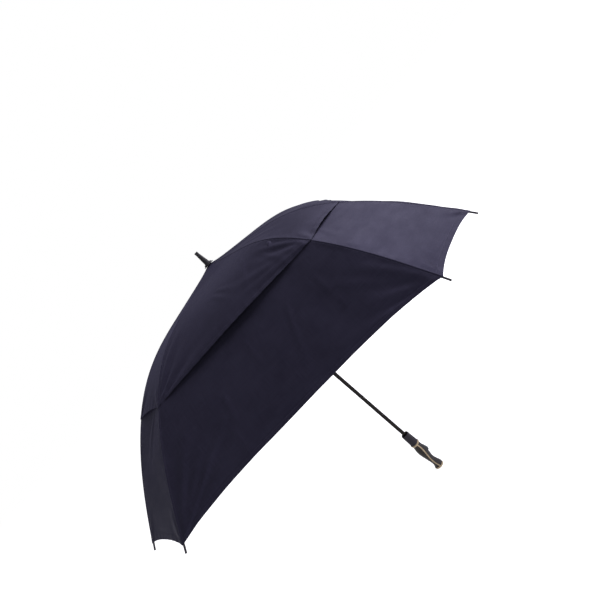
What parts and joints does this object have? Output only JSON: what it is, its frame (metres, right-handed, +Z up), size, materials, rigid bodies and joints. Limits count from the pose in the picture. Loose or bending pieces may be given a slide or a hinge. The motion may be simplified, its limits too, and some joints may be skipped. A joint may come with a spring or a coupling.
{
  "type": "golf umbrella",
  "caption": "Open stick umbrella with a vented double canopy, corner pairs of ribs, sliding runner and a shaped thumb-button handle.",
  "frame": {"origin": "middle of the handle's flat end face, on the shaft's axis", "axes": "+Z up the shaft to the ferrule, +X out of the thumb button, and a wide panel over -Y"},
  "size_m": [1.0498, 1.0498, 1],
  "materials": {
    "shaft_black": "satin black lacquer",
    "rib_black": "black glass-fibre rod",
    "black_plastic": "moulded, slightly glossy",
    "black_gloss": "smooth glossy moulding",
    "black_rubber": "ribbed soft rubber",
    "gold": "satin gold",
    "button_grey": "bluish grey moulding",
    "steel": "plated",
    "canopy_cloth": "black coated polyester with a bluish sheen"
  },
  "bodies": {
    "root": {"shaft": "shaft_black", "top_notch": "black_plastic", "notch_wire": "steel", "rosette": "black_plastic", "ferrule": "black_plastic", "stop_pin": "steel", "opening_spring": "steel", "handle_core": "black_plastic", "handle_neck": "black_rubber", "gold_ring": "gold", "grip_rubber": "black_rubber", "grip_back": "black_gloss", "gold_inlay": "gold", "end_cap": "gold", "button_springs": "steel"},
    "runner": {"runner": "black_plastic", "runner_wire": "steel", "spring_plunger": "steel"},
    "latch": {"latch_lever": "steel", "button": "button_grey"},
    "rib_1_body": {"rib_1": "rib_black", "rib_fittings_1": "black_plastic", "canopy_lower_1": "canopy_cloth", "canopy_upper_1": "canopy_cloth"},
    "stretcher_1_body": {"stretcher_1": "rib_black"},
    "rib_2_body": {"rib_2": "rib_black", "rib_fittings_2": "black_plastic", "canopy_lower_2": "canopy_cloth", "canopy_upper_2": "canopy_cloth"},
    "stretcher_2_body": {"stretcher_2": "rib_black"},
    "rib_3_body": {"rib_3": "rib_black", "rib_fittings_3": "black_plastic", "canopy_lower_3": "canopy_cloth", "canopy_upper_3": "canopy_cloth"},
    "stretcher_3_body": {"stretcher_3": "rib_black"},
    "rib_4_body": {"rib_4": "rib_black", "rib_fittings_4": "black_plastic", "canopy_lower_4": "canopy_cloth", "canopy_upper_4": "canopy_cloth"},
    "stretcher_4_body": {"stretcher_4": "rib_black"},
    "rib_5_body": {"rib_5": "rib_black", "rib_fittings_5": "black_plastic", "canopy_lower_5": "canopy_cloth", "canopy_upper_5": "canopy_cloth"},
    "stretcher_5_body": {"stretcher_5": "rib_black"},
    "rib_6_body": {"rib_6": "rib_black", "rib_fittings_6": "black_plastic", "canopy_lower_6": "canopy_cloth", "canopy_upper_6": "canopy_cloth"},
    "stretcher_6_body": {"stretcher_6": "rib_black"},
    "rib_7_body": {"rib_7": "rib_black", "rib_fittings_7": "black_plastic", "canopy_lower_7": "canopy_cloth", "canopy_upper_7": "canopy_cloth"},
    "stretcher_7_body": {"stretcher_7": "rib_black"},
    "rib_8_body": {"rib_8": "rib_black", "rib_fittings_8": "black_plastic", "canopy_lower_8": "canopy_cloth", "canopy_upper_8": "canopy_cloth"},
    "stretcher_8_body": {"stretcher_8": "rib_black"}
  },
  "joints": [
    {"name": "runner_slide", "type": "slide", "parent": "root", "child": "runner", "axis": [0, 0, -1], "range_m": [0, 0.46567], "stiffness_N_per_m": 55, "springref_m": -0.38, "deforming": ["opening_spring"]},
    {"name": "button_press", "type": "hinge", "parent": "root", "child": "latch", "pos_m": [0.0099, 0, 0.13], "axis": [0, 1, 0], "range_deg": [0, 2.1], "stiffness_Nm_per_rad": 0.35, "springref_deg": -2.01, "deforming": ["button_springs"]},
    {"name": "rib_1_hinge", "type": "hinge", "parent": "root", "child": "rib_1_body", "pos_m": [-0.01227, -0.00863, 0.9423], "axis": [0.5753, -0.8179, 0], "range_deg": [0, 60.35], "deforming": ["canopy_lower_1", "canopy_upper_1"]},
    {"name": "stretcher_1_hinge", "type": "hinge", "parent": "runner", "child": "stretcher_1_body", "pos_m": [-0.01309, -0.0092, 0.7025], "axis": [-0.5753, 0.8179, 0], "range_deg": [0, 50.11]},
    {"name": "rib_2_hinge", "type": "hinge", "parent": "root", "child": "rib_2_body", "pos_m": [-0.00863, -0.01227, 0.9423], "axis": [0.8179, -0.5753, 0], "range_deg": [0, 60.35], "deforming": ["canopy_lower_2", "canopy_upper_2"]},
    {"name": "stretcher_2_hinge", "type": "hinge", "parent": "runner", "child": "stretcher_2_body", "pos_m": [-0.0092, -0.01309, 0.7025], "axis": [-0.8179, 0.5753, 0], "range_deg": [0, 50.11]},
    {"name": "rib_3_hinge", "type": "hinge", "parent": "root", "child": "rib_3_body", "pos_m": [0.00863, -0.01227, 0.9423], "axis": [0.8179, 0.5753, 0], "range_deg": [0, 60.35], "deforming": ["canopy_lower_3", "canopy_upper_3"]},
    {"name": "stretcher_3_hinge", "type": "hinge", "parent": "runner", "child": "stretcher_3_body", "pos_m": [0.0092, -0.01309, 0.7025], "axis": [-0.8179, -0.5753, 0], "range_deg": [0, 50.11]},
    {"name": "rib_4_hinge", "type": "hinge", "parent": "root", "child": "rib_4_body", "pos_m": [0.01227, -0.00863, 0.9423], "axis": [0.5753, 0.8179, 0], "range_deg": [0, 60.35], "deforming": ["canopy_lower_4", "canopy_upper_4"]},
    {"name": "stretcher_4_hinge", "type": "hinge", "parent": "runner", "child": "stretcher_4_body", "pos_m": [0.01309, -0.0092, 0.7025], "axis": [-0.5753, -0.8179, 0], "range_deg": [0, 50.11]},
    {"name": "rib_5_hinge", "type": "hinge", "parent": "root", "child": "rib_5_body", "pos_m": [0.01227, 0.00863, 0.9423], "axis": [-0.5753, 0.8179, 0], "range_deg": [0, 60.35], "deforming": ["canopy_lower_5", "canopy_upper_5"]},
    {"name": "stretcher_5_hinge", "type": "hinge", "parent": "runner", "child": "stretcher_5_body", "pos_m": [0.01309, 0.0092, 0.7025], "axis": [0.5753, -0.8179, 0], "range_deg": [0, 50.11]},
    {"name": "rib_6_hinge", "type": "hinge", "parent": "root", "child": "rib_6_body", "pos_m": [0.00863, 0.01227, 0.9423], "axis": [-0.8179, 0.5753, 0], "range_deg": [0, 60.35], "deforming": ["canopy_lower_6", "canopy_upper_6"]},
    {"name": "stretcher_6_hinge", "type": "hinge", "parent": "runner", "child": "stretcher_6_body", "pos_m": [0.0092, 0.01309, 0.7025], "axis": [0.8179, -0.5753, 0], "range_deg": [0, 50.11]},
    {"name": "rib_7_hinge", "type": "hinge", "parent": "root", "child": "rib_7_body", "pos_m": [-0.00863, 0.01227, 0.9423], "axis": [-0.8179, -0.5753, 0], "range_deg": [0, 60.35], "deforming": ["canopy_lower_7", "canopy_upper_7"]},
    {"name": "stretcher_7_hinge", "type": "hinge", "parent": "runner", "child": "stretcher_7_body", "pos_m": [-0.0092, 0.01309, 0.7025], "axis": [0.8179, 0.5753, 0], "range_deg": [0, 50.11]},
    {"name": "rib_8_hinge", "type": "hinge", "parent": "root", "child": "rib_8_body", "pos_m": [-0.01227, 0.00863, 0.9423], "axis": [-0.5753, -0.8179, 0], "range_deg": [0, 60.35], "deforming": ["canopy_lower_8", "canopy_upper_8"]},
    {"name": "stretcher_8_hinge", "type": "hinge", "parent": "runner", "child": "stretcher_8_body", "pos_m": [-0.01309, 0.0092, 0.7025], "axis": [0.5753, 0.8179, 0], "range_deg": [0, 50.11]}
  ],
  "couplings": [
    {"joint": "rib_1_hinge", "follows": "runner_slide", "rad_per_m": 2.26},
    {"joint": "stretcher_1_hinge", "follows": "runner_slide", "rad_per_m": 1.8763},
    {"joint": "rib_2_hinge", "follows": "runner_slide", "rad_per_m": 2.26},
    {"joint": "stretcher_2_hinge", "follows": "runner_slide", "rad_per_m": 1.8763},
    {"joint": "rib_3_hinge", "follows": "runner_slide", "rad_per_m": 2.26},
    {"joint": "stretcher_3_hinge", "follows": "runner_slide", "rad_per_m": 1.8763},
    {"joint": "rib_4_hinge", "follows": "runner_slide", "rad_per_m": 2.26},
    {"joint": "stretcher_4_hinge", "follows": "runner_slide", "rad_per_m": 1.8763},
    {"joint": "rib_5_hinge", "follows": "runner_slide", "rad_per_m": 2.26},
    {"joint": "stretcher_5_hinge", "follows": "runner_slide", "rad_per_m": 1.8763},
    {"joint": "rib_6_hinge", "follows": "runner_slide", "rad_per_m": 2.26},
    {"joint": "stretcher_6_hinge", "follows": "runner_slide", "rad_per_m": 1.8763},
    {"joint": "rib_7_hinge", "follows": "runner_slide", "rad_per_m": 2.26},
    {"joint": "stretcher_7_hinge", "follows": "runner_slide", "rad_per_m": 1.8763},
    {"joint": "rib_8_hinge", "follows": "runner_slide", "rad_per_m": 2.26},
    {"joint": "stretcher_8_hinge", "follows": "runner_slide", "rad_per_m": 1.8763}
  ]
}
